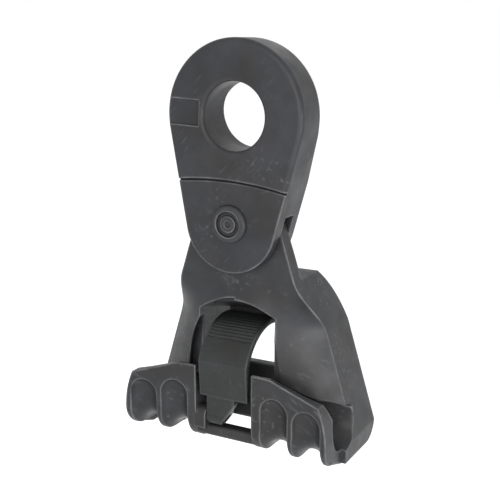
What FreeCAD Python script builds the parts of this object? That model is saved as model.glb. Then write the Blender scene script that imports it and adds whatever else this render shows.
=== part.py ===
import FreeCAD, Part
import math
import os

V = FreeCAD.Vector

# Suspension clamp for an insulated messenger, all sizes in millimetres.
# X runs along the messenger, Y along the eye bore and the pivot, Z is up.
# Pieces are drawn about the pivot and moved so that the eye centre is the origin.

# Link
eye_bore_radius = 11.8
eye_outer_radius = 26.3
eye_front = -7.1
eye_back = 7.8
eye_height = 37.4
link_lean = 3.0
cheek_radius = 17.8
fork_back = 11.0
fork_step = 1.0
seam_groove = 0.9
swell_top = 36.0
swell_bottom = 16.0
seam_middle = 15.5
seam_side = 14.2
panel_height = 8.8
panel_inner = 12.1
panel_depth = 1.0
link_edge_radius = 1.6
bore_edge_radius = 1.4

# Fork slot and neck
slot_front = -1.3
slot_back = 5.3
slot_radius = 17.6
slot_shoulder = 4.0
neck_front = -1.0
neck_back = 5.0
neck_head_radius = 15.6

# Pivot pin
pin_radius = 3.6
pin_clearance = 0.06
pin_head_radius = 6.8
pin_head_height = 1.6
pin_dish_radius = 4.6
pin_boss_radius = 3.0
pin_dimple_radius = 1.2
cap_radius = 6.8
cap_thickness = 2.2
pin_tail = 1.2

# Height of the trough, from which the foot of the bell, the lips, the bar and the hinge hang
trough_z = -70.0

# Bell
bell_top = -19.5
bell_top_half = 22.8
bell_bottom = trough_z - 14.5
bell_wall = 3.2
bell_back = 30.0
bell_top_back = 19.0
bell_back_bend = -44.0
bell_corner_radius = 8.0
bow_middle = -5.4
bow_edge = 10.0
neck_waist_half = 20.3
neck_waist_z = -11.5
shoulder_half = 30.8
shoulder_z = -39.5
skirt_half = 42.6
skirt_z = -78.0
foot_cut_half = skirt_half - 6.6
foot_cut_back = bow_edge - 0.5
foot_cut_top = -64.0

# Window
window_half = 15.6
window_front_top = -27.0
window_front_spring = -33.0
window_back_top = -35.6
window_back_spring = -36.5
window_front = -6.0
window_back = 12.0
window_foot = -66.0
stop_front = 12.6
stop_back = 14.6
stop_bottom = -38.4
stop_overhang = 0.8
recess_half = 21.2
recess_top = -27.8
recess_foot = -56.0
recess_depth = 2.6
jamb_wall = 3.0
jamb_back = 22.0

# Trough
trough_y = 2.0
trough_radius = 6.0
trough_mouth_radius = 10.0
trough_straight_half = 20.0
trough_relief = 0.6
rear_wall_front = 8.2
rear_wall_back = 11.7
trough_half = skirt_half - 0.6
end_top_half = skirt_half - 4.6
end_top_z = -58.0
end_middle_half = skirt_half - 1.6
end_middle_z = trough_z + 2.5
end_bottom_half = skirt_half - 2.2
end_bottom_z = trough_z - 12.0
web_toe_y = -7.0
web_toe_z = trough_z - 11.5
web_toe_half = skirt_half - 1.6
web_heel = 1.5
lip_ridge_radius = 13.5
lip_mouth_radius = 15.8
lip_foot_radius = 9.0
lip_bottom = trough_z - 12.2
lip_top_inner = -52.5
lip_top_outer = -60.0
lip_shoulder = 19.0
lip_inner_bend = -56.5
lip_inner_top = -10.4
sill_top = -55.0
bell_face = -1.4
face_foot = -58.5
face_bottom = -66.0
first_ridge = 14.0
ridge_pitch = 13.0
flute_radius = 5.9
flute_offset = 2.1
flute_bend_radius = 13.1
flute_top = -58.6
flute_fall = 1.8
gap_half = 11.5

# Bottom bar
bar_front = -9.8
bar_back = -4.6
bar_bottom = trough_z - 9.6
bar_top = trough_z - 5.3

# Keeper
hinge_y = -8.2
hinge_z = trough_z - 1.8
keeper_half = 9.8
keeper_thickness = 2.1
keeper_foot = -63.4
keeper_tail_y = 11.6
foot_right = 4.2
knuckle_radius = 3.1
knuckle_left = -7.2
knuckle_right = -1.8
bracket_gap = 0.3
keeper_pin_radius = 1.6
keeper_pin_clearance = 0.05
tooth_pitch = 1.5
tooth_depth = 0.6
tooth_count = 10
tooth_start = 47.0
keeper_arc_y = 7.3
keeper_arc_z = -57.4
keeper_arc_radius = 20.7
keeper_corner = -50.2
keeper_lean = 0.9
keeper_pin_end = -13.5

# How far the cutting shapes reach past the part
far = 60.0
far_front = -40.0
far_low = -100.0


def polygon(points):
    return Part.Face(Part.makePolygon(points + [points[0]]))


def prism_y(outline, y_from, y_to):
    face = polygon([V(x, y_from, z) for x, z in outline])
    return face.extrude(V(0, y_to - y_from, 0))


def prism_x(outline, x_from, x_to):
    face = polygon([V(x_from, y, z) for y, z in outline])
    return face.extrude(V(x_to - x_from, 0, 0))


def box(x_from, x_to, y_from, y_to, z_from, z_to):
    return Part.makeBox(x_to - x_from, y_to - y_from, z_to - z_from, V(x_from, y_from, z_from))


def rod_x(radius, x_from, x_to, y, z):
    return Part.makeCylinder(radius, x_to - x_from, V(x_from, y, z), V(1, 0, 0))


def rod_y(radius, y_from, y_to, x, z):
    return Part.makeCylinder(radius, y_to - y_from, V(x, y_from, z), V(0, 1, 0))


def link_outline():
    # Two circles joined by their outer tangents.
    tilt = math.asin((eye_outer_radius - cheek_radius) / eye_height)
    across = math.cos(tilt)
    down = -math.sin(tilt)
    top_right = V(eye_outer_radius * across, 0, eye_height + eye_outer_radius * down)
    top_left = V(-top_right.x, 0, top_right.z)
    low_right = V(cheek_radius * across, 0, cheek_radius * down)
    low_left = V(-low_right.x, 0, low_right.z)
    crown = Part.Arc(top_left, V(0, 0, eye_height + eye_outer_radius), top_right).toShape()
    foot = Part.Arc(low_right, V(0, 0, -cheek_radius), low_left).toShape()
    right = Part.makeLine(top_right, low_right)
    left = Part.makeLine(low_left, top_left)
    return Part.Face(Part.Wire([crown, right, foot, left]))


def link_blank():
    plate = link_outline()
    plate.translate(V(0, 2 * eye_front, 0))
    plate = plate.extrude(V(0, 2 * fork_back - 2 * eye_front, 0))
    top = eye_height + 2 * eye_outer_radius
    low = -2 * cheek_radius
    side = [
        (eye_front, low),
        (eye_front, top),
        (eye_back, top),
        (eye_back, swell_top),
        (fork_back, swell_bottom),
        (fork_back, low),
    ]
    wide = 2 * eye_outer_radius
    return plate.common(prism_x(side, -wide, wide))


def below_seam(middle, depth):
    # Everything below a shallow arch across the link, down to a depth in its front.
    wide = 2 * eye_outer_radius
    drop = (seam_middle - seam_side) * (wide / cheek_radius) ** 2
    left = V(-wide, 0, middle - drop)
    right = V(wide, 0, middle - drop)
    arc = Part.Arc(left, V(0, 0, middle), right).toShape()
    low = -2 * cheek_radius
    rest = Part.makePolygon([right, V(wide, 0, low - drop), V(-wide, 0, low - drop), left])
    face = Part.Face(Part.Wire([arc] + rest.Edges))
    face.translate(V(0, eye_front - 1, 0))
    return face.extrude(V(0, 1 + depth, 0))


def seam_cutter():
    groove = below_seam(seam_middle, fork_step + seam_groove)
    groove = groove.cut(below_seam(seam_middle - seam_groove, fork_step + seam_groove))
    return below_seam(seam_middle, fork_step).fuse(groove)


def fork_slot():
    # The slot is round above the pivot, and open at the sides below its shoulders.
    head = rod_y(slot_radius, slot_front, slot_back, 0, 0)
    return head.fuse(box(-40, 40, slot_front, slot_back, -40, slot_shoulder))


def make_hanger_link():
    link = link_blank()
    rim = [e for e in link.Edges if e.BoundBox.YLength < e.BoundBox.ZLength]
    link = link.makeFillet(link_edge_radius, rim)
    link = link.cut(rod_y(eye_bore_radius, -20, 20, 0, eye_height))
    bore = [e for e in link.Edges if is_circle(e, eye_bore_radius)]
    link = link.makeFillet(bore_edge_radius, bore)
    link = link.cut(seam_cutter())
    half = panel_height / 2
    link = link.cut(
        box(
            -2 * eye_outer_radius,
            -panel_inner - bore_edge_radius,
            eye_front - 1,
            eye_front + panel_depth,
            eye_height - half,
            eye_height + half,
        )
    )
    link = link.cut(fork_slot())
    link = link.cut(rod_y(pin_radius + pin_clearance, -20, 20, 0, 0))
    return lean(link)


def is_circle(edge, radius):
    return edge.Curve.TypeId == "Part::GeomCircle" and abs(edge.Curve.Radius - radius) < 0.001


def lean(shape):
    shape.rotate(V(0, 0, 0), V(0, 1, 0), link_lean)
    return shape


def make_pivot_pin():
    seat = eye_front + fork_step
    head_end = seat - pin_head_height
    head = rod_y(pin_head_radius, head_end, seat, 0, 0)
    rim = [e for e in head.Edges if e.BoundBox.YMax < head_end + 0.01 and is_circle(e, pin_head_radius)]
    head = head.makeFillet(0.8 * pin_head_height, rim)
    dish = rod_y(pin_dish_radius, head_end - 1, head_end + 0.7 * pin_head_height, 0, 0)
    boss = rod_y(pin_boss_radius, head_end + 0.2, seat, 0, 0)
    head = head.cut(dish.cut(boss))
    head = head.cut(rod_y(pin_dimple_radius, head_end - 1, head_end + 0.8, 0, 0))
    shank = rod_y(pin_radius, seat, fork_back + cap_thickness + pin_tail, 0, 0)
    return lean(head.fuse(shank).removeSplitter())


def make_pin_cap():
    cap = rod_y(cap_radius, fork_back, fork_back + cap_thickness, 0, 0)
    rim = [e for e in cap.Edges if e.BoundBox.YMin > fork_back + 0.1 and is_circle(e, cap_radius)]
    cap = cap.makeChamfer(0.4 * cap_thickness, rim)
    return lean(cap.cut(rod_y(pin_radius, fork_back - 1, fork_back + 2 * cap_thickness, 0, 0)))


def front_y(x, z):
    # The bell's front leaves the neck flat, then swells at the middle and sweeps back at the sides.
    t = min(1.0, max(0.0, (bell_top - z) / (bell_top - shoulder_z)))
    swell = t * t * (3.0 - 2.0 * t)
    spread = (skirt_half - shoulder_half) / (shoulder_z - skirt_z)
    half = shoulder_half + spread * (shoulder_z - z)
    bow = bow_middle + (bow_edge - bow_middle) * (x / half) ** 2
    return neck_front + swell * (bow - neck_front)


def bell_front(setback):
    # The front surface, from the flat top of the bell to below its skirt.
    rows = 20
    columns = 7
    low = bell_bottom - 8.0
    high = bell_top + 3.0
    wide = skirt_half + 5.0
    grid = []
    for i in range(rows):
        z = high + (low - high) * i / (rows - 1)
        xs = [wide * (2.0 * j / (columns - 1) - 1.0) for j in range(columns)]
        grid.append([V(x, front_y(x, z) + setback, z) for x in xs])
    surface = Part.BSplineSurface()
    surface.interpolate(grid)
    return surface.toShape()


def bell_outline(inset):
    half = bell_top_half - inset
    return [
        (-half, bell_top - inset),
        (half, bell_top - inset),
        (shoulder_half - inset, shoulder_z),
        (skirt_half - inset, skirt_z),
        (skirt_half - inset, bell_bottom - 3 * inset),
        (-skirt_half + inset, bell_bottom - 3 * inset),
        (-skirt_half + inset, skirt_z),
        (-shoulder_half + inset, shoulder_z),
    ]


def neck_plate():
    x = neck_waist_half
    z = neck_waist_z
    reach = math.hypot(x, z)
    swing = math.acos(neck_head_radius / reach) + math.atan2(z, x)
    touch = (neck_head_radius * math.cos(swing), neck_head_radius * math.sin(swing))
    outline = [touch, (x, z), (bell_top_half, bell_top)]
    outline += [(-bell_top_half, bell_top), (-x, z), (-touch[0], touch[1])]
    plate = prism_y(outline, neck_front, neck_back)
    return plate.fuse(rod_y(neck_head_radius, neck_front, neck_back, 0, 0))


def bell_side():
    # The side view of the bell behind its front: the back leans out, drops and turns in at the foot.
    corner = bell_corner_radius
    slant = corner * math.sqrt(0.5)
    high = bell_top
    low = bell_bottom
    bend = Part.Arc(
        V(0, bell_top_back, high),
        V(0, 0.28 * bell_top_back + 0.72 * bell_back, 0.6 * high + 0.4 * bell_back_bend),
        V(0, bell_back, bell_back_bend),
    ).toShape()
    foot = Part.Arc(
        V(0, bell_back, low + corner),
        V(0, bell_back - corner + slant, low + corner - slant),
        V(0, bell_back - corner, low),
    ).toShape()
    edges = [
        Part.makeLine(V(0, -20, high), V(0, bell_top_back, high)),
        bend,
        Part.makeLine(V(0, bell_back, bell_back_bend), V(0, bell_back, low + corner)),
        foot,
        Part.makeLine(V(0, bell_back - corner, low), V(0, -20, low)),
        Part.makeLine(V(0, -20, low), V(0, -20, high)),
    ]
    face = Part.Face(Part.Wire(edges))
    face.translate(V(-far, 0, 0))
    return face.extrude(V(2 * far, 0, 0))


def bell_shell():
    band = prism_y(bell_outline(0.0), far_front, far).common(bell_front(0.0).extrude(V(0, far, 0)))
    band = band.common(bell_side())
    behind = bell_front(bell_wall).extrude(V(0, far, 0))
    hollow = prism_y(bell_outline(bell_wall), far_front, far).common(behind)
    walls = band.cut(hollow)
    frame = band.common(window_tunnel(jamb_wall)).common(box(-far, far, far_front, jamb_back, trough_z, 0))
    shell = walls.fuse(frame).cut(recess_pocket())
    floor = recess_outline(bell_wall).common(bell_front(recess_depth).extrude(V(0, far, 0)))
    floor = floor.cut(bell_front(recess_depth + bell_wall).extrude(V(0, far, 0)))
    return shell.fuse(floor.common(band))


def recess_pocket():
    return recess_outline(0.0).cut(bell_front(recess_depth).extrude(V(0, far, 0)))


def recess_outline(grow):
    # The arched finger recess at the window's left, set back from the bell's face.
    half = recess_half + grow
    high = recess_top + grow - recess_foot
    arch = rod_y(half, -20, 40, 0, 0)
    stretch = FreeCAD.Matrix()
    stretch.scale(1.0, 1.0, high / half)
    arch = arch.transformGeometry(stretch)
    arch.translate(V(0, 0, recess_foot))
    upper = arch.common(box(-half, 0, -20, 40, recess_foot, recess_foot + high))
    return upper.fuse(box(-half, 0, -20, 40, window_foot, recess_foot))


def window_wire(y, spring, top, grow):
    half = window_half + grow
    low = window_foot
    left = V(-half, y, spring)
    right = V(half, y, spring)
    arch = Part.Arc(left, V(0, y, top + grow), right).toShape()
    rest = Part.makePolygon([right, V(half, y, low), V(-half, y, low), left])
    return Part.Wire([arch] + rest.Edges)


def window_tunnel(grow):
    # A tall arch in front that runs down to a flat arch at the back.
    front = window_wire(window_front, window_front_spring, window_front_top, grow)
    back = window_wire(window_back, window_back_spring, window_back_top, grow)
    cutter = Part.makeLoft([front, back], True, True)
    behind = Part.Face(back).extrude(V(0, 40, 0))
    return cutter.fuse(behind)


def tail_stop():
    # A rib under the roof, behind the keeper's tail and a little wider than it.
    half = keeper_half + stop_overhang
    return box(-half, half, stop_front, stop_back, stop_bottom, window_back_top + 1)


def trough_section(x, ridge):
    front = trough_y - ridge
    side = rear_wall_back
    turn = lip_foot_radius
    slant = turn * math.sqrt(0.5)
    centre = V(x, front + turn, lip_bottom + turn)
    top = lip_top_inner + 5.0
    heel = V(x, side, trough_z - 5.0)
    hip = V(x, front, lip_bottom + turn)
    knee = V(x, centre.y - slant, centre.z - slant)
    toe = V(x, centre.y, lip_bottom)
    base = V(x, trough_y, lip_bottom)
    under = V(x, trough_y + 0.75 * (side - trough_y), lip_bottom + 1.8)
    edges = [
        Part.makeLine(V(x, front, top), hip),
        Part.Arc(hip, knee, toe).toShape(),
        Part.makeLine(toe, base),
        Part.Arc(base, under, heel).toShape(),
        Part.makeLine(heel, V(x, side, sill_top)),
        Part.makeLine(V(x, side, sill_top), V(x, bell_face, sill_top)),
        Part.makeLine(V(x, bell_face, sill_top), V(x, bell_face, top)),
        Part.makeLine(V(x, bell_face, top), V(x, front, top)),
    ]
    return Part.Wire(edges)


def ridge_radius(x):
    spread = (lip_mouth_radius - lip_ridge_radius) / (trough_half - first_ridge)
    return lip_ridge_radius + spread * max(0.0, abs(x) - first_ridge)


def lip_top(x):
    # Level from the gap to the shoulder, then falling to the end.
    slope = (lip_top_outer - lip_top_inner) / (trough_half - lip_shoulder)
    return lip_top_inner + slope * max(0.0, abs(x) - lip_shoulder)


def trough_blank():
    stations = [-trough_half, -first_ridge, first_ridge, trough_half]
    wires = [trough_section(x, ridge_radius(x)) for x in stations]
    blank = Part.makeLoft(wires, True, True)
    # The back of the trough stays behind the bell's face.
    behind = bell_front(0.0).extrude(V(0, far, 0))
    slab = box(-far, far, bell_face, bell_back, face_bottom, 0)
    outline = prism_y(bell_outline(0.0), far_front, far)
    blank = blank.cut(slab.cut(behind)).cut(slab.cut(outline))
    return blank.cut(lip_slopes()).common(end_limits())


def end_limits():
    # The lips' ends lean out towards the foot.
    top = lip_top_inner + 12
    upper = V(end_top_half, 0, end_top_z)
    middle = V(end_middle_half, 0, end_middle_z)
    lower = V(end_bottom_half, 0, end_bottom_z)
    arc = Part.Arc(upper, middle, lower).toShape()
    rest = Part.makePolygon(
        [lower, V(lower.x, 0, far_low), V(0, 0, far_low), V(0, 0, top), V(upper.x, 0, top), upper]
    )
    right = Part.Face(Part.Wire([arc] + rest.Edges))
    right.translate(V(0, -far, 0))
    right = right.extrude(V(0, 2 * far, 0))
    left = right.mirror(V(0, 0, 0), V(1, 0, 0))
    return right.fuse(left)


def lip_slopes():
    top = lip_top_inner + 10
    end = trough_half + 2
    right = [(gap_half, lip_top_inner), (lip_shoulder, lip_top_inner), (end, lip_top(end))]
    right += [(end, top), (gap_half, top)]
    left = [(-x, z) for x, z in right]
    cut = prism_y(right, far_front, bell_face).fuse(prism_y(left, far_front, bell_face))
    return cut.fuse(box(-gap_half, gap_half, far_front, bell_face, lip_top_inner, top))


def flute_depth():
    # How far the round end of a flute rises above its centre in the lip's front.
    return math.sqrt(flute_radius ** 2 - flute_offset ** 2)


def flute(x):
    # A round groove down the lip's front, round its foot and back underneath.
    y = trough_y - ridge_radius(x) - flute_offset
    rim = flute_top - flute_fall * (abs(x) - first_ridge) / ridge_pitch - flute_depth()
    turn = flute_bend_radius
    low = lip_bottom - flute_offset
    middle = low + turn
    upright = Part.makeCylinder(flute_radius, rim - middle, V(x, y, middle), V(0, 0, 1))
    crown = Part.makeSphere(flute_radius, V(x, y, rim))
    bend = Part.makeTorus(turn, flute_radius, V(x, y + turn, middle), V(1, 0, 0))
    bend = bend.common(box(x - 20, x + 20, y - 20, y + turn, low - 20, middle))
    run = rod_y(flute_radius, y + turn, y + turn + 20, x, low)
    return upright.fuse(crown).fuse(bend).fuse(run)


def trough_bore():
    end = trough_half + 1
    start = V(-end, trough_y, trough_z)
    mouth = trough_mouth_radius
    middle = 0.5 * (end + trough_straight_half)
    waist = trough_radius + 0.25 * (mouth - trough_radius)
    profile = [
        Part.makeLine(start, V(-end, trough_y, trough_z + mouth)),
        flare(-end, -middle, -trough_straight_half, mouth, waist),
        Part.makeLine(
            V(-trough_straight_half, trough_y, trough_z + trough_radius),
            V(trough_straight_half, trough_y, trough_z + trough_radius),
        ),
        flare(end, middle, trough_straight_half, mouth, waist),
        Part.makeLine(V(end, trough_y, trough_z + mouth), V(end, trough_y, trough_z)),
        Part.makeLine(V(end, trough_y, trough_z), start),
    ]
    face = Part.Face(Part.Wire(profile))
    return face.revolve(V(0, trough_y, trough_z), V(1, 0, 0), 360)


def flare(end, middle, inner, mouth, waist):
    wide = V(end, trough_y, trough_z + mouth)
    between = V(middle, trough_y, trough_z + waist)
    narrow = V(inner, trough_y, trough_z + trough_radius)
    return Part.Arc(wide, between, narrow).toShape()


def entry_cutter():
    # The way in for the messenger, between the lips and the bell.
    outline = [
        (lip_inner_top, lip_top_inner + 10),
        (bell_face, lip_top_inner + 10),
        (bell_face, face_foot),
        (trough_y + trough_radius, trough_z + 3.5),
        (trough_y + trough_radius, trough_z),
        (trough_y - trough_radius, trough_z),
        (trough_y - trough_radius - 2.5, trough_z + trough_radius),
        (lip_inner_top, lip_inner_bend),
    ]
    return prism_x(outline, -50, 50)


def window_entry():
    # In the window the way in is open back to the rear wall.
    front = trough_y - trough_radius
    return box(-window_half, window_half, front, rear_wall_front, trough_z, sill_top + 20)


def bottom_bar():
    bar = box(-gap_half - 2, gap_half + 2, bar_front, bar_back, bar_bottom, bar_top)
    long_edges = [e for e in bar.Edges if e.BoundBox.XLength > 1]
    return bar.makeFillet(1.2, long_edges)


def hinge_bracket():
    radius = knuckle_radius + 0.3
    right = knuckle_left - bracket_gap
    left = -gap_half - 1
    post = box(left, right, hinge_y - radius, hinge_y + radius, bar_top - 1, hinge_z)
    return rod_x(radius, left, right, hinge_y, hinge_z).fuse(post)


def end_webs():
    # The side walls reach forward below the bell to close the ends of the trough.
    ring = prism_y(bell_outline(0.0), far_front, far)
    ring = ring.cut(prism_y(bell_outline(bell_wall), far_front, far))
    webs = box(-far, far, trough_y, bell_back, bell_bottom, trough_z).common(bell_side()).common(ring)
    toe = [
        (trough_y + 1, trough_z),
        (web_toe_y - 2, web_toe_z + 3),
        (web_toe_y, web_toe_z),
        (web_heel, bell_bottom),
        (trough_y + 1, bell_bottom),
    ]
    toes = prism_x(toe, -web_toe_half, web_toe_half).common(ring)
    return webs.fuse(toes)


def make_clamp_body():
    shell = bell_shell()
    shell = shell.cut(
        box(-foot_cut_half, foot_cut_half, far_front, foot_cut_back, far_low, foot_cut_top)
    )
    shell = shell.fuse(end_webs())
    body = shell.fuse(neck_plate())
    body = body.cut(window_tunnel(0.0)).fuse(tail_stop())
    trough = trough_blank()
    for x in flute_places():
        trough = trough.cut(flute(x))
    floor = trough_z - trough_radius
    trough = trough.cut(box(-gap_half, gap_half, far_front, trough_y + 3, far_low, 0))
    trough = trough.cut(box(-gap_half, gap_half, far_front, far, far_low, floor))
    lips = box(-trough_half, 0, far_front, trough_y - trough_radius, far_low, 0)
    trough = trough.cut(recess_pocket().cut(lips))
    body = body.fuse(trough)
    body = body.cut(entry_cutter()).cut(window_entry())
    body = body.fuse(bottom_bar()).fuse(hinge_bracket())
    body = body.cut(trough_bore())
    body = body.cut(rod_x(trough_radius + trough_relief, -gap_half, gap_half, trough_y, trough_z))
    body = body.cut(rod_x(keeper_pin_radius, keeper_pin_end, 0, hinge_y, hinge_z))
    body = body.cut(rod_y(pin_radius + pin_clearance, -20, 20, 0, 0))
    return body.removeSplitter()


def flute_places():
    first = first_ridge + 0.5 * ridge_pitch
    second = first + ridge_pitch
    return [-second, -first, first, second]


def keeper_section():
    # A straight leg that bends into a long arc over the messenger.
    corner_y = keeper_arc_y - math.sqrt(keeper_arc_radius ** 2 - (keeper_corner - keeper_arc_z) ** 2)
    tail = arc_point(keeper_tail_y)
    middle = arc_point(0.5 * (corner_y + keeper_tail_y))
    corner = V(0, corner_y, keeper_corner)
    foot = V(0, corner_y + keeper_lean, keeper_foot)
    leg = Part.makeLine(foot, corner)
    sweep = Part.Arc(corner, middle, tail).toShape()
    return Part.Wire([leg, sweep])


def arc_point(y):
    return V(0, y, keeper_arc_z + math.sqrt(keeper_arc_radius ** 2 - (y - keeper_arc_y) ** 2))


def make_keeper():
    wire = keeper_section()
    strap = wire.makeOffset2D(keeper_thickness, 0, True, True)
    if strap.CenterOfMass.y < wire.CenterOfMass.y:
        strap = wire.makeOffset2D(-keeper_thickness, 0, True, True)
    strap.translate(V(-keeper_half, 0, 0))
    strap = strap.extrude(V(2 * keeper_half, 0, 0))
    for place in range(tooth_count):
        strap = strap.cut(tooth_gap(place))
    strap = strap.fuse(keeper_foot_web())
    hole = rod_x(keeper_pin_radius + keeper_pin_clearance, -20, 20, hinge_y, hinge_z)
    return strap.cut(hole).removeSplitter()


def keeper_foot_web():
    # The foot narrows to one side, down to the knuckle round its pin.
    knuckle = rod_x(knuckle_radius, knuckle_left, foot_right, hinge_y, hinge_z)
    neck = box(knuckle_left, foot_right, hinge_y - 2.6, hinge_y + 0.8, hinge_z, keeper_foot + 1)
    low = hinge_z - knuckle_radius
    taper = [
        (knuckle_left, keeper_foot + 2),
        (foot_right, keeper_foot + 2),
        (foot_right, keeper_foot - 2.0),
        (knuckle_right, low),
        (knuckle_left, low),
    ]
    return knuckle.fuse(neck).common(prism_y(taper, hinge_y - 10, hinge_y + 10))


def tooth_gap(place):
    # A saw tooth across the outer face, steep towards the tail.
    angle = math.radians(tooth_start) + place * tooth_pitch / keeper_arc_radius
    outer = keeper_arc_radius + 0.5
    inner = keeper_arc_radius - tooth_depth
    run = 1.3 * tooth_pitch / keeper_arc_radius
    points = [(outer, angle), (inner, angle), (outer, angle + run)]
    outline = [(keeper_arc_y - r * math.cos(a), keeper_arc_z + r * math.sin(a)) for r, a in points]
    return prism_x(outline, -keeper_half + 1.0, keeper_half - 1.0)


def make_keeper_pin():
    return rod_x(keeper_pin_radius - 0.02, keeper_pin_end + 0.1, knuckle_right + 0.1, hinge_y, hinge_z)


def main():
    shift = math.radians(link_lean)
    to_eye = V(-eye_height * math.sin(shift), 0, -eye_height * math.cos(shift))
    parts = {
        "hanger_link": make_hanger_link(),
        "pivot_pin": make_pivot_pin(),
        "pin_cap": make_pin_cap(),
        "clamp_body": make_clamp_body(),
        "keeper": make_keeper(),
        "keeper_pin": make_keeper_pin(),
    }
    os.makedirs("parts", exist_ok=True)
    for name, shape in parts.items():
        shape.translate(to_eye)
        shape.exportStep("parts/" + name + ".step")
        print(name, shape.ShapeType, len(shape.Solids), shape.isValid(), round(shape.Volume))


main()
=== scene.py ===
"""Suspension clamp in dark moulded plastic, hung by its eye over a pale floor."""

import math

import bpy
from bpy.props import FloatProperty, FloatVectorProperty, PointerProperty
from mathutils import Matrix, Vector


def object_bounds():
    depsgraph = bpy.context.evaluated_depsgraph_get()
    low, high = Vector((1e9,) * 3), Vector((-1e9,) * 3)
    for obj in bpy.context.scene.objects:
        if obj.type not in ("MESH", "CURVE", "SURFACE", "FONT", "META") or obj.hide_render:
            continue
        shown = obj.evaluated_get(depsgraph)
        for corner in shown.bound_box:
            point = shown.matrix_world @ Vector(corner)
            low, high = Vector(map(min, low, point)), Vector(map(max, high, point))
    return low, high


bl_info = {
    "name": "Suspension Clamp",
    "version": (1, 0, 0),
    "blender": (4, 5, 0),
    "location": "View3D > Sidebar > Clamp",
    "description": "Finishes the pieces of a suspension clamp and sets its stage",
    "category": "Object",
}

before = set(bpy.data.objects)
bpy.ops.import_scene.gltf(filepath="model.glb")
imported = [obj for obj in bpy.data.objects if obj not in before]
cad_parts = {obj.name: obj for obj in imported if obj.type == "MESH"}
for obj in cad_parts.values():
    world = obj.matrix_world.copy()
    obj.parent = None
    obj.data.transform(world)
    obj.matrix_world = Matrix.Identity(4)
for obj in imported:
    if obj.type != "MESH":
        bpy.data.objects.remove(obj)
cad_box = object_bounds()

# Factors on the red, green and blue of a colour.
PLAIN_TONE = (1.0, 1.0, 1.0)
LINK_TONE = (0.98, 0.98, 1.0)
KEEPER_TONE = (0.76, 0.81, 0.76)
GRIME_TONE = (0.7, 0.7, 0.7)
# The painted shade in crevices darkens the plastic to this share of its colour.
CREVICE_SHADE_TONE = (0.25, 0.25, 0.25)
FLOOR_GRAIN_TONE = (1.03, 1.03, 1.03)

# How rubbed and scuffed a piece is, and how strong the painted highlight on its edges, as a share of the
# most worn one.
FULL_WEAR_AND_HIGHLIGHT = 1.0
KEEPER_WEAR_AND_HIGHLIGHT = 0.3

# Most values of a noise texture lie between these two.
NOISE_LOW = 0.35
NOISE_HIGH = 0.65

# Scuffs are long along X and Y and thin along Z, before they are slanted.
SCUFF_STRETCH = (90.0, 120.0, 520.0)
SCUFF_STRENGTH = 0.2
SPECK_STRENGTH = 0.16

# Cosines of the turn from a flat face to its rounded edge, where the edge wear and painted edge highlight
# begin and where they are full.
EDGE_MARK_BEGINS = 0.995
EDGE_MARK_FULL = 0.88

# How far the roughness strays to either side of its mean.
SMOOTHER_BY = 0.07
ROUGHER_BY = 0.09

# The waves in the plastic's surface are this many times as high as its fine skin.
WAVE_HEIGHT = 6.0

WHITE = (1.0, 1.0, 1.0, 1.0)
SKY_COLOUR = (0.95, 0.97, 1.0, 1.0)

# Brightness added to the floor where it is seen or mirrored, and not to the light that it sheds.
FLOOR_GLOW = 0.8

# Sizes and places of the floor and the lamps, in metres.
FLOOR_HALF = 3.0
LAMP_AIM = (0.0, 0.0, -0.05)
KEY_PLACE = (0.1, -0.6, 0.1)
KEY_SIZE = (0.4, 0.4)
EDGE_PLACE = (0.5, -0.3, -0.1)
EDGE_SIZE = (0.6, 0.2)

# The camera's sensor in millimetres, and the nearest that it sees in metres.
SENSOR_WIDTH = 36.0
CLIP_START = 0.01


class PlasticSettings(bpy.types.PropertyGroup):
    """Colour and surface of the moulded plastic."""

    colour: FloatVectorProperty(
        name="Plastic colour",
        description="Colour of the moulded plastic",
        subtype="COLOR",
        size=3,
        min=0.0,
        max=1.0,
        default=(0.035, 0.036, 0.038),
    )
    bloom: FloatVectorProperty(
        name="Bloom colour",
        description="Paler colour of the dusty bloom on the plastic",
        subtype="COLOR",
        size=3,
        min=0.0,
        max=1.0,
        default=(0.054, 0.057, 0.063),
    )
    warm_colour: FloatVectorProperty(
        name="Warm colour",
        description="Browner colour that the plastic drifts to in large soft patches",
        subtype="COLOR",
        size=3,
        min=0.0,
        max=1.0,
        default=(0.039, 0.036, 0.035),
    )
    # Also the colour of the painted highlight along the outer edges.
    scuff_and_highlight: FloatVectorProperty(
        name="Scuff colour",
        description="Pale colour of scuffs and of rubbed edges",
        subtype="COLOR",
        size=3,
        min=0.0,
        max=1.0,
        default=(0.27, 0.272, 0.28),
    )
    roughness: FloatProperty(
        name="Roughness",
        description="Mean roughness of the plastic",
        subtype="FACTOR",
        min=0.0,
        max=1.0,
        default=0.38,
    )
    edge_radius: FloatProperty(
        name="Edge radius",
        description="Softening of the moulded edges",
        subtype="DISTANCE",
        unit="LENGTH",
        min=0.0,
        default=0.0012,
    )
    # Reach of the painted shade that darkens the plastic near a neighbouring wall.
    crevice_shade_reach: FloatProperty(
        name="Crevice depth",
        description="How far from a neighbouring wall the plastic looks darker",
        subtype="DISTANCE",
        unit="LENGTH",
        min=0.0,
        default=0.011,
    )
    texture_height: FloatProperty(
        name="Texture height",
        description="Depth of the fine skin left by the mould",
        subtype="DISTANCE",
        unit="LENGTH",
        min=0.0,
        default=0.00003,
    )


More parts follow.
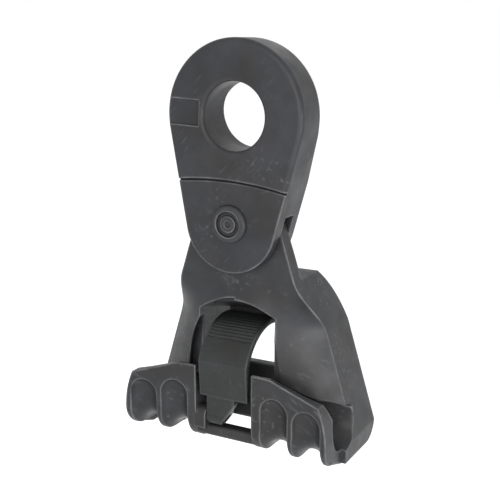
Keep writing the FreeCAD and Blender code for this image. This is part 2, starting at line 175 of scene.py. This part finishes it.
class StageSettings(bpy.types.PropertyGroup):
    """Camera, floor and light."""

    camera_place: FloatVectorProperty(
        name="Camera place",
        description="Where the camera stands",
        subtype="TRANSLATION",
        unit="LENGTH",
        size=3,
        default=(0.15172, -0.27399, 0.02405),
    )
    azimuth: FloatProperty(
        name="Azimuth",
        description="How far the camera stands to the right of the front",
        subtype="ANGLE",
        default=math.radians(28.5),
    )
    elevation: FloatProperty(
        name="Elevation",
        description="How far the camera looks down",
        subtype="ANGLE",
        default=math.radians(12.9),
    )
    lens: FloatProperty(
        name="Lens",
        description="Focal length in millimetres on a 36 mm sensor",
        default=64.8,
        min=1.0,
    )
    floor_drop: FloatProperty(
        name="Floor drop",
        description="How far the floor lies below the clamp",
        subtype="DISTANCE",
        unit="LENGTH",
        min=0.0,
        default=0.05,
    )
    floor_colour: FloatVectorProperty(
        name="Floor colour",
        description="Colour of the floor",
        subtype="COLOR",
        size=3,
        min=0.0,
        max=1.0,
        default=(0.9, 0.9, 0.9),
    )
    sky_strength: FloatProperty(
        name="Sky strength",
        description="Strength of the soft light from all round",
        min=0.0,
        default=0.34,
    )
    key_power: FloatProperty(
        name="Key lamp power",
        description="Power of the lamp in front",
        subtype="POWER",
        unit="POWER",
        min=0.0,
        default=1.9,
    )
    edge_power: FloatProperty(
        name="Edge lamp power",
        description="Power of the lamp at the right, which picks out the edges",
        subtype="POWER",
        unit="POWER",
        min=0.0,
        default=2.4,
    )


class NodeTree:
    """Adds and links the nodes of one material or world."""

    def __init__(self, tree):
        self.tree = tree
        tree.nodes.clear()

    def add(self, kind, inputs=None, **values):
        """A new node with its values set, and each input linked or set."""
        node = self.tree.nodes.new(kind)
        for name, value in values.items():
            setattr(node, name, value)
        for name, value in (inputs or {}).items():
            socket = node.inputs[name]
            if isinstance(value, bpy.types.NodeSocket):
                self.tree.links.new(value, socket)
            else:
                socket.default_value = value
        return node

    def noise(self, place, scale, detail):
        """Soft noise, which is finer with a larger scale."""
        node = self.add("ShaderNodeTexNoise", {"Vector": place, "Scale": scale, "Detail": detail})
        return node.outputs["Fac"]

    def spread(self, value, start, end, low, high):
        """Runs from low to high while the value runs from start to end."""
        node = self.add(
            "ShaderNodeMapRange",
            {"Value": value, "From Min": start, "From Max": end, "To Min": low, "To Max": high},
        )
        return node.outputs["Result"]

    def maths(self, operation, *values):
        """The result of one operation on numbers."""
        node = self.add("ShaderNodeMath", dict(enumerate(values)), operation=operation)
        return node.outputs["Value"]

    def vector_maths(self, operation, first, second, result="Vector"):
        """The result of one operation on two vectors."""
        node = self.add("ShaderNodeVectorMath", {0: first, 1: second}, operation=operation)
        return node.outputs[result]

    def layer(self, factor, under, over):
        """One colour laid over another."""
        node = self.add("ShaderNodeMix", {"Factor": factor, "A": under, "B": over}, data_type="RGBA")
        return node.outputs["Result"]


def rgba(colour):
    """A colour with full opacity."""
    return (*colour, 1.0)


def toned(colour, tone):
    """A colour with each channel scaled by its own factor."""
    return rgba([part * factor for part, factor in zip(colour, tone)])


def blotches(nodes, place, scale, detail, low, high):
    """Soft patches of noise between two limits."""
    return nodes.spread(nodes.noise(place, scale, detail), NOISE_LOW, NOISE_HIGH, low, high)


def shifted_place(nodes, seed):
    """The place on the piece, shifted so that no two materials share a pattern."""
    texture = nodes.add("ShaderNodeTexCoord")
    return nodes.vector_maths("ADD", texture.outputs["Object"], (seed, 2.0 * seed, -seed))


def scuffs(nodes, place, slant, high):
    """Thin pale streaks in one slanting direction, gathered in a few patches."""
    turned = nodes.add("ShaderNodeVectorRotate", {"Vector": place, "Angle": slant}, rotation_type="Y_AXIS")
    drawn = nodes.vector_maths("MULTIPLY", turned.outputs["Vector"], SCUFF_STRETCH)
    lines = nodes.noise(drawn, scale=1.6, detail=5.0)
    thin = nodes.spread(lines, start=0.58, end=0.75, low=0.0, high=high)
    patch = blotches(nodes, place, scale=55.0, detail=1.0, low=-0.8, high=1.0)
    return nodes.maths("MULTIPLY", thin, patch)


def specks(nodes, place, high):
    """Small pale dabs, gathered in a few patches."""
    dots = blotches(nodes, place, scale=560.0, detail=3.0, low=-1.0, high=high)
    patch = blotches(nodes, place, scale=45.0, detail=1.0, low=-0.9, high=1.0)
    return nodes.maths("MULTIPLY", nodes.maths("MAXIMUM", dots, 0.0), patch)


def edge_wear_and_highlight(nodes, place, rounded, openness, wear_and_edge_highlight):
    """Painted highlight along the outer edges, partly uneven rubbing, with none on flats and in corners."""
    flat = nodes.add("ShaderNodeNewGeometry")
    turn = nodes.vector_maths("DOT_PRODUCT", rounded, flat.outputs["Normal"], result="Value")
    edge = nodes.spread(turn, start=EDGE_MARK_BEGINS, end=EDGE_MARK_FULL, low=0.0, high=wear_and_edge_highlight)
    open_edge = nodes.spread(openness, start=0.7, end=0.95, low=0.0, high=1.0)
    patch = blotches(nodes, place, scale=150.0, detail=3.0, low=0.35, high=1.0)
    return nodes.maths("MULTIPLY", nodes.maths("MULTIPLY", edge, patch), open_edge)


def moulded_normal(nodes, place, rounded, texture_height):
    """The rounded edges with the fine skin and slight waves that the mould leaves."""
    skin = nodes.noise(place, scale=1400.0, detail=2.0)
    waves = nodes.noise(place, scale=90.0, detail=1.0)
    height = nodes.maths("MULTIPLY_ADD", waves, WAVE_HEIGHT, skin)
    bump = nodes.add(
        "ShaderNodeBump",
        {"Strength": 1.0, "Distance": texture_height, "Height": height, "Normal": rounded},
    )
    return bump.outputs["Normal"]


def plastic_material(name, settings, seed, slant, tone=PLAIN_TONE, wear_and_edge_highlight=FULL_WEAR_AND_HIGHLIGHT):
    """Dark moulded plastic with a dusty bloom, scuffs, rubbed edges with a painted highlight, painted shade
    in crevices and a fine skin.
    """
    material = bpy.data.materials.new(name)
    material.use_nodes = True
    nodes = NodeTree(material.node_tree)
    place = shifted_place(nodes, seed)
    bevel = nodes.add("ShaderNodeBevel", {"Radius": settings.edge_radius}, samples=6)
    rounded = bevel.outputs["Normal"]
    open_sky = nodes.add("ShaderNodeAmbientOcclusion", {"Distance": settings.crevice_shade_reach}, samples=8)
    openness = open_sky.outputs["AO"]

    warmth = blotches(nodes, place, scale=27.0, detail=2.0, low=0.0, high=1.0)
    bloom = blotches(nodes, place, scale=60.0, detail=4.0, low=0.0, high=0.6)
    grime = blotches(nodes, place, scale=190.0, detail=3.0, low=0.0, high=0.3)
    streaks = scuffs(nodes, place, slant, high=SCUFF_STRENGTH * wear_and_edge_highlight)
    dabs = specks(nodes, place, high=SPECK_STRENGTH * wear_and_edge_highlight)
    # Painted highlight, with some rubbing, along the outer edges.
    worn_edge_and_highlight = edge_wear_and_highlight(nodes, place, rounded, openness, wear_and_edge_highlight)
    # Painted shade: the colour darkens in corners and crevices, where less light reaches.
    painted_crevice_shade = nodes.spread(openness, start=0.2, end=0.7, low=0.65, high=0.0)
    scuff_and_highlight = rgba(settings.scuff_and_highlight)
    layers = (
        (warmth, toned(settings.warm_colour, tone)),
        (bloom, toned(settings.bloom, tone)),
        (grime, toned(settings.colour, GRIME_TONE)),
        (streaks, scuff_and_highlight),
        (dabs, scuff_and_highlight),
        (worn_edge_and_highlight, scuff_and_highlight),
        (painted_crevice_shade, toned(settings.colour, CREVICE_SHADE_TONE)),
    )
    colour = toned(settings.colour, tone)
    for factor, over in layers:
        colour = nodes.layer(factor, colour, over)

    smoothest = settings.roughness - SMOOTHER_BY
    roughest = settings.roughness + ROUGHER_BY
    shader = nodes.add(
        "ShaderNodeBsdfPrincipled",
        {
            "Base Color": colour,
            "Roughness": blotches(nodes, place, scale=110.0, detail=3.0, low=smoothest, high=roughest),
            "Normal": moulded_normal(nodes, place, rounded, settings.texture_height),
            "IOR": 1.5,
            "Specular IOR Level": 0.2,
        },
    )
    nodes.add("ShaderNodeOutputMaterial", {"Surface": shader.outputs["BSDF"]})
    return material


def finish_node(node, material):
    """Gives a construction piece its material."""
    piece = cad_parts[node]
    piece.data.materials.clear()
    piece.data.materials.append(material)


class CLAMP_OT_link(bpy.types.Operator):
    """Finish the hanging link"""

    bl_idname = "clamp.link"
    bl_label = "Hanging Link"

    def execute(self, context):
        settings = context.scene.clamp_plastic
        material = plastic_material("link_plastic", settings, seed=1.3, slant=0.9, tone=LINK_TONE)
        finish_node("hanger_link", material)
        return {"FINISHED"}


class CLAMP_OT_pins(bpy.types.Operator):
    """Finish the pivot pin, its cap and the keeper's pin"""

    bl_idname = "clamp.pins"
    bl_label = "Pins"

    def execute(self, context):
        settings = context.scene.clamp_plastic
        material = plastic_material("pin_plastic", settings, seed=4.1, slant=0.5)
        for node in ("pivot_pin", "pin_cap", "keeper_pin"):
            finish_node(node, material)
        return {"FINISHED"}


class CLAMP_OT_body(bpy.types.Operator):
    """Finish the bell-shaped body"""

    bl_idname = "clamp.body"
    bl_label = "Clamp Body"

    def execute(self, context):
        settings = context.scene.clamp_plastic
        material = plastic_material("body_plastic", settings, seed=7.7, slant=-0.6)
        finish_node("clamp_body", material)
        return {"FINISHED"}


class CLAMP_OT_keeper(bpy.types.Operator):
    """Finish the ratchet keeper"""

    bl_idname = "clamp.keeper"
    bl_label = "Keeper"

    def execute(self, context):
        settings = context.scene.clamp_plastic
        material = plastic_material(
            "keeper_plastic", settings, seed=9.2, slant=0.2, tone=KEEPER_TONE, wear_and_edge_highlight=KEEPER_WEAR_AND_HIGHLIGHT
        )
        finish_node("keeper", material)
        return {"FINISHED"}


def seen_directly(nodes):
    """One for rays from the camera and for mirrored or passed rays, else zero."""
    rays = nodes.add("ShaderNodeLightPath").outputs
    camera_or_gloss = nodes.maths("MAXIMUM", rays["Is Camera Ray"], rays["Is Glossy Ray"])
    return nodes.maths("MAXIMUM", camera_or_gloss, rays["Is Transmission Ray"])


def floor_material(settings):
    """A pale matte floor, which looks brighter than it lights."""
    material = bpy.data.materials.new("pale_floor")
    material.use_nodes = True
    nodes = NodeTree(material.node_tree)
    texture = nodes.add("ShaderNodeTexCoord")
    grain = nodes.noise(texture.outputs["Object"], scale=14.0, detail=2.0)
    grain_colour = toned(settings.floor_colour, FLOOR_GRAIN_TONE)
    tint = nodes.layer(grain, rgba(settings.floor_colour), grain_colour)
    matte = nodes.add("ShaderNodeBsdfDiffuse", {"Color": tint, "Roughness": 0.5})
    glow = nodes.add("ShaderNodeEmission", {"Color": WHITE, "Strength": FLOOR_GLOW})
    both = nodes.add("ShaderNodeAddShader", {0: matte.outputs["BSDF"], 1: glow.outputs["Emission"]})
    direct = seen_directly(nodes)
    mix = nodes.add("ShaderNodeMixShader", {0: direct, 1: matte.outputs["BSDF"], 2: both.outputs["Shader"]})
    nodes.add("ShaderNodeOutputMaterial", {"Surface": mix.outputs["Shader"]})
    return material


def make_floor(settings):
    """A wide square floor below the clamp."""
    half = FLOOR_HALF
    height = cad_box[0][2] - settings.floor_drop
    mesh = bpy.data.meshes.new("floor")
    corners = [(-half, -half, height), (half, -half, height), (half, half, height), (-half, half, height)]
    mesh.from_pydata(corners, [], [(0, 1, 2, 3)])
    floor = bpy.data.objects.new("floor", mesh)
    bpy.context.collection.objects.link(floor)
    mesh.materials.append(floor_material(settings))


def make_world(settings):
    """Soft light from all round, and plain white where the world is seen or mirrored."""
    world = bpy.data.worlds.new("pale_studio")
    bpy.context.scene.world = world
    world.use_nodes = True
    nodes = NodeTree(world.node_tree)
    direct = seen_directly(nodes)
    soft = nodes.add("ShaderNodeBackground", {"Color": SKY_COLOUR, "Strength": settings.sky_strength})
    white = nodes.add("ShaderNodeBackground", {"Color": WHITE, "Strength": 1.0})
    mix = nodes.add(
        "ShaderNodeMixShader",
        {0: direct, 1: soft.outputs["Background"], 2: white.outputs["Background"]},
    )
    nodes.add("ShaderNodeOutputWorld", {"Surface": mix.outputs["Shader"]})


def make_lamp(name, place, size, power):
    """An oval lamp that faces the clamp."""
    data = bpy.data.lights.new(name, "AREA")
    data.shape = "ELLIPSE"
    data.size, data.size_y = size
    data.energy = power
    lamp = bpy.data.objects.new(name, data)
    lamp.location = place
    lamp.rotation_euler = (Vector(LAMP_AIM) - Vector(place)).to_track_quat("-Z", "Y").to_euler()
    bpy.context.collection.objects.link(lamp)


def make_camera(settings):
    """A camera to the right of the front that looks down a little."""
    right = Vector((math.cos(settings.azimuth), math.sin(settings.azimuth), 0.0))
    back = Vector(
        (
            math.sin(settings.azimuth) * math.cos(settings.elevation),
            -math.cos(settings.azimuth) * math.cos(settings.elevation),
            math.sin(settings.elevation),
        )
    )
    up = back.cross(right)
    turn = Matrix((right, up, back)).transposed().to_4x4()
    data = bpy.data.cameras.new("camera")
    data.lens = settings.lens
    data.sensor_width = SENSOR_WIDTH
    data.clip_start = CLIP_START
    camera = bpy.data.objects.new("camera", data)
    camera.matrix_world = Matrix.Translation(settings.camera_place) @ turn
    bpy.context.collection.objects.link(camera)
    bpy.context.scene.camera = camera


class CLAMP_OT_stage(bpy.types.Operator):
    """Set the floor, the lamps and the camera"""

    bl_idname = "clamp.stage"
    bl_label = "Stage"

    def execute(self, context):
        settings = context.scene.clamp_stage
        make_floor(settings)
        make_world(settings)
        make_lamp("key_lamp", KEY_PLACE, KEY_SIZE, settings.key_power)
        make_lamp("edge_lamp", EDGE_PLACE, EDGE_SIZE, settings.edge_power)
        make_camera(settings)
        view = context.scene.view_settings
        view.view_transform = "Standard"
        return {"FINISHED"}


OPERATORS = (CLAMP_OT_link, CLAMP_OT_pins, CLAMP_OT_body, CLAMP_OT_keeper, CLAMP_OT_stage)

PLASTIC_ROWS = (
    "colour",
    "bloom",
    "warm_colour",
    "scuff_and_highlight",
    "roughness",
    "edge_radius",
    "crevice_shade_reach",
    "texture_height",
)

STAGE_ROWS = (
    "camera_place",
    "azimuth",
    "elevation",
    "lens",
    "floor_drop",
    "floor_colour",
    "sky_strength",
    "key_power",
    "edge_power",
)


class CLAMP_PT_panel(bpy.types.Panel):
    """Steps and settings of the suspension clamp"""

    bl_idname = "CLAMP_PT_panel"
    bl_label = "Suspension Clamp"
    bl_space_type = "VIEW_3D"
    bl_region_type = "UI"
    bl_category = "Clamp"

    def draw(self, context):
        layout = self.layout
        scene = context.scene
        for name in PLASTIC_ROWS:
            layout.prop(scene.clamp_plastic, name)
        for name in STAGE_ROWS:
            layout.prop(scene.clamp_stage, name)
        for operator in OPERATORS:
            layout.operator(operator.bl_idname)


CLASSES = (PlasticSettings, StageSettings, *OPERATORS, CLAMP_PT_panel)


def register():
    for cls in CLASSES:
        bpy.utils.register_class(cls)
    bpy.types.Scene.clamp_plastic = PointerProperty(type=PlasticSettings)
    bpy.types.Scene.clamp_stage = PointerProperty(type=StageSettings)


def unregister():
    del bpy.types.Scene.clamp_stage
    del bpy.types.Scene.clamp_plastic
    for cls in reversed(CLASSES):
        bpy.utils.unregister_class(cls)


def main():
    register()
    bpy.ops.clamp.link()
    bpy.ops.clamp.pins()
    bpy.ops.clamp.body()
    bpy.ops.clamp.keeper()
    bpy.ops.clamp.stage()


if __name__ == "__main__":
    main()
